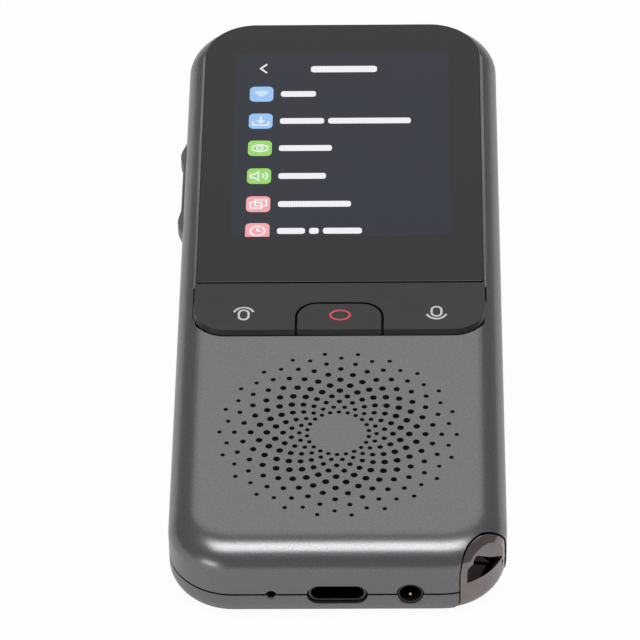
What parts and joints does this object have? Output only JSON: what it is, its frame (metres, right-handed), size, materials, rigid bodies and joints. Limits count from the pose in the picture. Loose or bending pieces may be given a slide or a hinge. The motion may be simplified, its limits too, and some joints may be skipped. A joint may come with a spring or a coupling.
{
  "type": "handheld translator",
  "caption": "Slim handheld translator: split rounded case with a touch screen, rocking key bar, centre key, side keys, round speaker grille and a corner strap post.",
  "frame": {"origin": "centre of the flat back face, which the translator rests on", "axes": "+X to the right seen from the front, +Y towards the screen end, +Z out of the screen"},
  "size_m": [0.0542, 0.135, 0.0146],
  "materials": {
    "shell_grey": "satin metallic grey paint with a fine fleck",
    "cover_glass": "black glass with a polished face and bevelled edge",
    "display_panel": "dark display panel",
    "key_black": "semi-gloss black",
    "rubber_black": "matte",
    "switch_metal": "satin",
    "board_green": "satin solder mask",
    "frame_metal": "pressed, satin",
    "battery_foil": "satin foil",
    "aerial_film": "gloss film",
    "speaker_cloth": "fine black weave",
    "speaker_foam": "matte foam",
    "speaker_frame": "matte",
    "speaker_cone": "matte",
    "magnet_steel": "satin",
    "socket_steel": "satin",
    "socket_plastic": "matte",
    "contact_gold": "polished",
    "dark_chrome": "dark polished chrome",
    "screw_steel": "satin"
  },
  "bodies": {
    "case": {"aerial": "aerial_film", "audio_jack": "socket_plastic", "back_shell": "shell_grey", "battery": "battery_foil", "bracket_screw": "screw_steel", "display_module": "display_panel", "dock_board": "board_green", "dock_screw_left": "screw_steel", "dock_screw_right": "screw_steel", "frame_screw_lower_left": "screw_steel", "frame_screw_lower_right": "screw_steel", "frame_screw_upper_left": "screw_steel", "frame_screw_upper_right": "screw_steel", "front_shell": "shell_grey", "jack_contact": "contact_gold", "key_membrane": "rubber_black", "key_switch_centre": "switch_metal", "key_switch_left": "switch_metal", "key_switch_right": "switch_metal", "lanyard_bracket": "dark_chrome", "main_board": "board_green", "mic_boot": "rubber_black", "microphone": "frame_metal", "midframe": "frame_metal", "power_switch": "switch_metal", "screen_glass": "cover_glass", "shield_can": "frame_metal", "side_key_board": "board_green", "speaker_basket": "speaker_frame", "speaker_cone": "speaker_cone", "speaker_gasket": "speaker_foam", "speaker_magnet": "magnet_steel", "speaker_mesh": "speaker_cloth", "speaker_screw_left": "screw_steel", "speaker_screw_right": "screw_steel", "usb_gasket": "rubber_black", "usb_shell": "socket_steel", "usb_tongue": "socket_plastic", "volume_down_switch": "switch_metal", "volume_up_switch": "switch_metal"},
    "front_rocker": {"key_bar": "key_black"},
    "middle_key": {"centre_key": "key_black"},
    "side_rocker": {"volume_rocker": "key_black"},
    "side_power": {"power_key": "key_black"}
  },
  "joints": [
    {"name": "key_bar_rock", "type": "hinge", "parent": "case", "child": "front_rocker", "pos_m": [0, -0.00995, 0.0126], "axis": [0, 1, 0], "range_deg": [-0.7, 0.7], "stiffness_Nm_per_rad": 0.01},
    {"name": "centre_key_press", "type": "slide", "parent": "case", "child": "middle_key", "axis": [0, 0, -1], "range_m": [0, 0.00025], "stiffness_N_per_m": 80, "springref_m": -0.001},
    {"name": "volume_rock", "type": "hinge", "parent": "case", "child": "side_rocker", "pos_m": [-0.0248, 0.02695, 0.0075], "axis": [0, 0, 1], "range_deg": [-1, 1], "stiffness_Nm_per_rad": 0.001},
    {"name": "power_key_press", "type": "slide", "parent": "case", "child": "side_power", "axis": [1, 0, 0], "range_m": [0, 0.00025], "stiffness_N_per_m": 80, "springref_m": -0.001}
  ]
}
